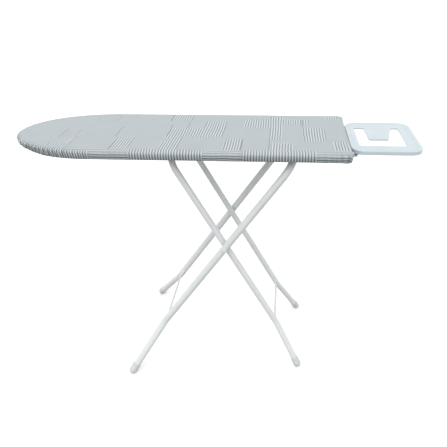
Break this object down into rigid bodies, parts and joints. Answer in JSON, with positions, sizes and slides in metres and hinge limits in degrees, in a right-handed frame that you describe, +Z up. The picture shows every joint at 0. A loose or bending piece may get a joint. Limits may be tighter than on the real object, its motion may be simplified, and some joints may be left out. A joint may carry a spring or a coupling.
{
  "type": "folding ironing board",
  "caption": "Ironing board with a padded cloth cover, pointed nose and square heel, standing on crossed folding tube legs, with a cut-out iron rest plate beyond the heel.",
  "frame": {"origin": "on the floor under the middle of the whole object, legs open", "axes": "+X from the pointed nose to the heel and its iron rest, +Y across the board, +Z up"},
  "size_m": [1.3139, 0.5146, 0.87],
  "materials": {
    "cover_cloth": "woven cotton, striped blocks",
    "cord_cotton": "twisted cotton",
    "pad_felt": "needled felt",
    "panel_steel": "thin grey primer paint",
    "leg_white": "gloss powder coat",
    "rest_white": "gloss powder coat",
    "foot_plastic": "moulded, satin",
    "zinc_steel": "bright zinc plate",
    "nylon": "moulded nylon"
  },
  "bodies": {
    "board": {"cover": "cover_cloth", "hem_elastic": "cord_cotton", "pad": "pad_felt", "top_panel": "panel_steel", "edge_frame": "panel_steel", "cross_braces": "panel_steel", "hinge_blocks": "nylon", "hinge_straps": "zinc_steel", "hinge_screws": "zinc_steel", "height_track": "panel_steel", "track_rivets": "zinc_steel", "iron_rest": "rest_white", "rest_arms": "rest_white", "arm_spacers": "zinc_steel", "arm_screws": "zinc_steel"},
    "outer_legs": {"outer_leg_tube": "leg_white", "outer_cross_rod": "leg_white", "outer_foot_near": "foot_plastic", "outer_foot_far": "foot_plastic", "pivot_rivets": "leg_white", "rivet_washers": "leg_white"},
    "inner_legs": {"inner_leg_tube": "leg_white", "inner_cross_rod": "leg_white", "inner_foot_near": "foot_plastic", "inner_foot_far": "foot_plastic", "pivot_spacers": "nylon"},
    "carriage": {"track_carriage": "nylon", "lever_spring": "zinc_steel"},
    "release_lever": {"release_lever": "zinc_steel", "lever_grip": "nylon"}
  },
  "joints": [
    {"name": "outer_leg_fold", "type": "hinge", "parent": "board", "child": "outer_legs", "pos_m": [0.266, 0, 0.818], "axis": [0, 1, 0], "range_deg": [0, 52.01]},
    {"name": "inner_leg_fold", "type": "hinge", "parent": "outer_legs", "child": "inner_legs", "pos_m": [0.03874, 0, 0.50277], "axis": [0, 1, 0], "range_deg": [-111.5, 0]},
    {"name": "carriage_level", "type": "hinge", "parent": "inner_legs", "child": "carriage", "pos_m": [-0.131, 0, 0.818], "axis": [0, 1, 0], "range_deg": [0, 59.4]},
    {"name": "lever_squeeze", "type": "hinge", "parent": "carriage", "child": "release_lever", "pos_m": [-0.131, 0, 0.818], "axis": [0, 1, 0], "range_deg": [-8, 0], "stiffness_Nm_per_rad": 0.8, "springref_deg": 11.46}
  ],
  "couplings": [
    {"joint": "inner_leg_fold", "follows": "outer_leg_fold", "ratio": -2.1404},
    {"joint": "carriage_level", "follows": "outer_leg_fold", "ratio": 1.1404}
  ]
}
